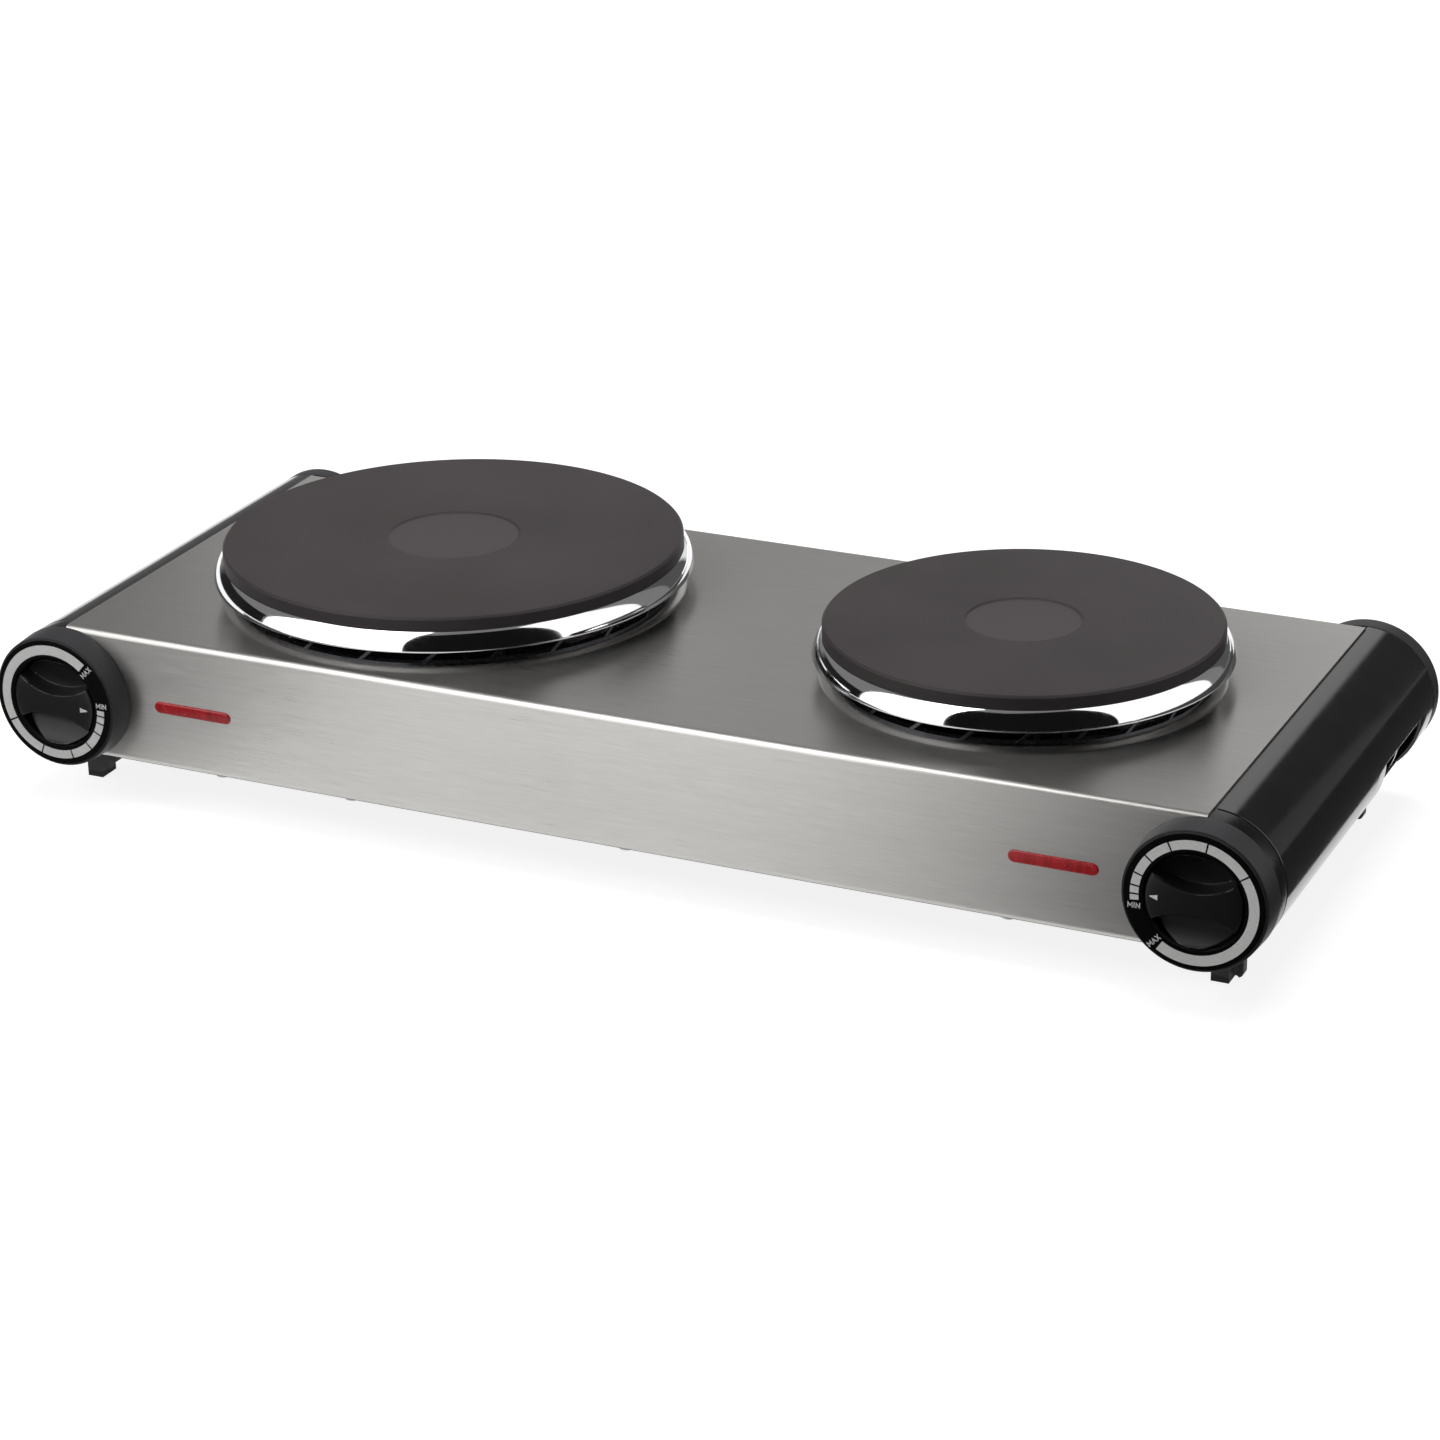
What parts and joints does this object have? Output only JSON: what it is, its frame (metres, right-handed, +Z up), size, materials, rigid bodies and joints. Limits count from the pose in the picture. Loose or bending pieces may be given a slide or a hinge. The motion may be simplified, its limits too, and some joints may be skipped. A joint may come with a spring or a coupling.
{
  "type": "electric hot plate burner",
  "caption": "Tabletop cooker with cast heating plates in chromed rings on a folded brushed steel housing, half-round black end covers, dials and pilot lamps at the front.",
  "frame": {"origin": "middle of the footprint, on the surface the feet stand on", "axes": "X along the length (large plate towards -X), Y from the dials at the front to the rear, Z up"},
  "size_m": [0.5408, 0.223, 0.096],
  "materials": {
    "brushed_steel_body": "fine horizontal brushing",
    "dark_base_metal": "satin",
    "gloss_black_cover": "high gloss",
    "matte_black_plastic": "fine grain",
    "silver_print": "satin",
    "red_lens": "translucent gloss",
    "neon_glass": "clear",
    "zinc_plated_steel": "satin",
    "cast_iron": "fine cast, heat-blacked",
    "chrome_ring": "mirror",
    "heating_alloy": "oxidised",
    "insulation": "fibrous",
    "ceramic_block": "unglazed",
    "contact_brass": "satin",
    "wire_sleeve": "glass braid",
    "rubber_pad": "matte"
  },
  "bodies": {
    "housing": {"housing_shell": "brushed_steel_body", "bottom_plate": "dark_base_metal", "left_end_cover": "gloss_black_cover", "right_end_cover": "gloss_black_cover", "left_front_bezel": "matte_black_plastic", "right_front_bezel": "matte_black_plastic", "left_dial_scale": "silver_print", "right_dial_scale": "silver_print", "left_rear_cap": "matte_black_plastic", "right_rear_cap": "matte_black_plastic", "left_lamp_lens": "red_lens", "right_lamp_lens": "red_lens", "left_neon_lamp": "neon_glass", "right_neon_lamp": "neon_glass", "lamp_clips": "zinc_plated_steel", "large_hot_plate": "cast_iron", "small_hot_plate": "cast_iron", "large_trim_ring": "chrome_ring", "small_trim_ring": "chrome_ring", "large_support_ring": "chrome_ring", "small_support_ring": "chrome_ring", "large_heating_coil": "heating_alloy", "small_heating_coil": "heating_alloy", "large_insulation": "insulation", "small_insulation": "insulation", "large_base_pan": "zinc_plated_steel", "small_base_pan": "zinc_plated_steel", "large_centre_stud": "zinc_plated_steel", "small_centre_stud": "zinc_plated_steel", "large_clamp_bar": "zinc_plated_steel", "small_clamp_bar": "zinc_plated_steel", "clamp_nuts": "zinc_plated_steel", "large_terminal_block": "ceramic_block", "small_terminal_block": "ceramic_block", "left_thermostat_body": "ceramic_block", "right_thermostat_body": "ceramic_block", "left_thermostat_bracket": "zinc_plated_steel", "right_thermostat_bracket": "zinc_plated_steel", "left_bimetal_switch": "contact_brass", "right_bimetal_switch": "contact_brass", "bracket_screws": "zinc_plated_steel", "mains_terminal_block": "ceramic_block", "earth_screw": "contact_brass", "cord_inlet_gland": "matte_black_plastic", "gland_nut": "matte_black_plastic", "foot_front_left": "matte_black_plastic", "foot_front_right": "matte_black_plastic", "foot_rear_left": "matte_black_plastic", "foot_rear_right": "matte_black_plastic", "foot_pads": "rubber_pad", "foot_screws": "zinc_plated_steel", "bottom_screws": "zinc_plated_steel", "cover_screws": "zinc_plated_steel", "left_wiring": "wire_sleeve", "right_wiring": "wire_sleeve"},
    "left_dial": {"left_knob": "matte_black_plastic", "left_dial_shaft": "zinc_plated_steel"},
    "right_dial": {"right_knob": "matte_black_plastic", "right_dial_shaft": "zinc_plated_steel"}
  },
  "joints": [
    {"name": "left_knob_turn", "type": "hinge", "parent": "housing", "child": "left_dial", "pos_m": [-0.242, -0.0975, 0.044], "axis": [0, 1, 0], "range_deg": [0, 300]},
    {"name": "right_knob_turn", "type": "hinge", "parent": "housing", "child": "right_dial", "pos_m": [0.242, -0.0975, 0.044], "axis": [0, 1, 0], "range_deg": [0, 300]}
  ]
}
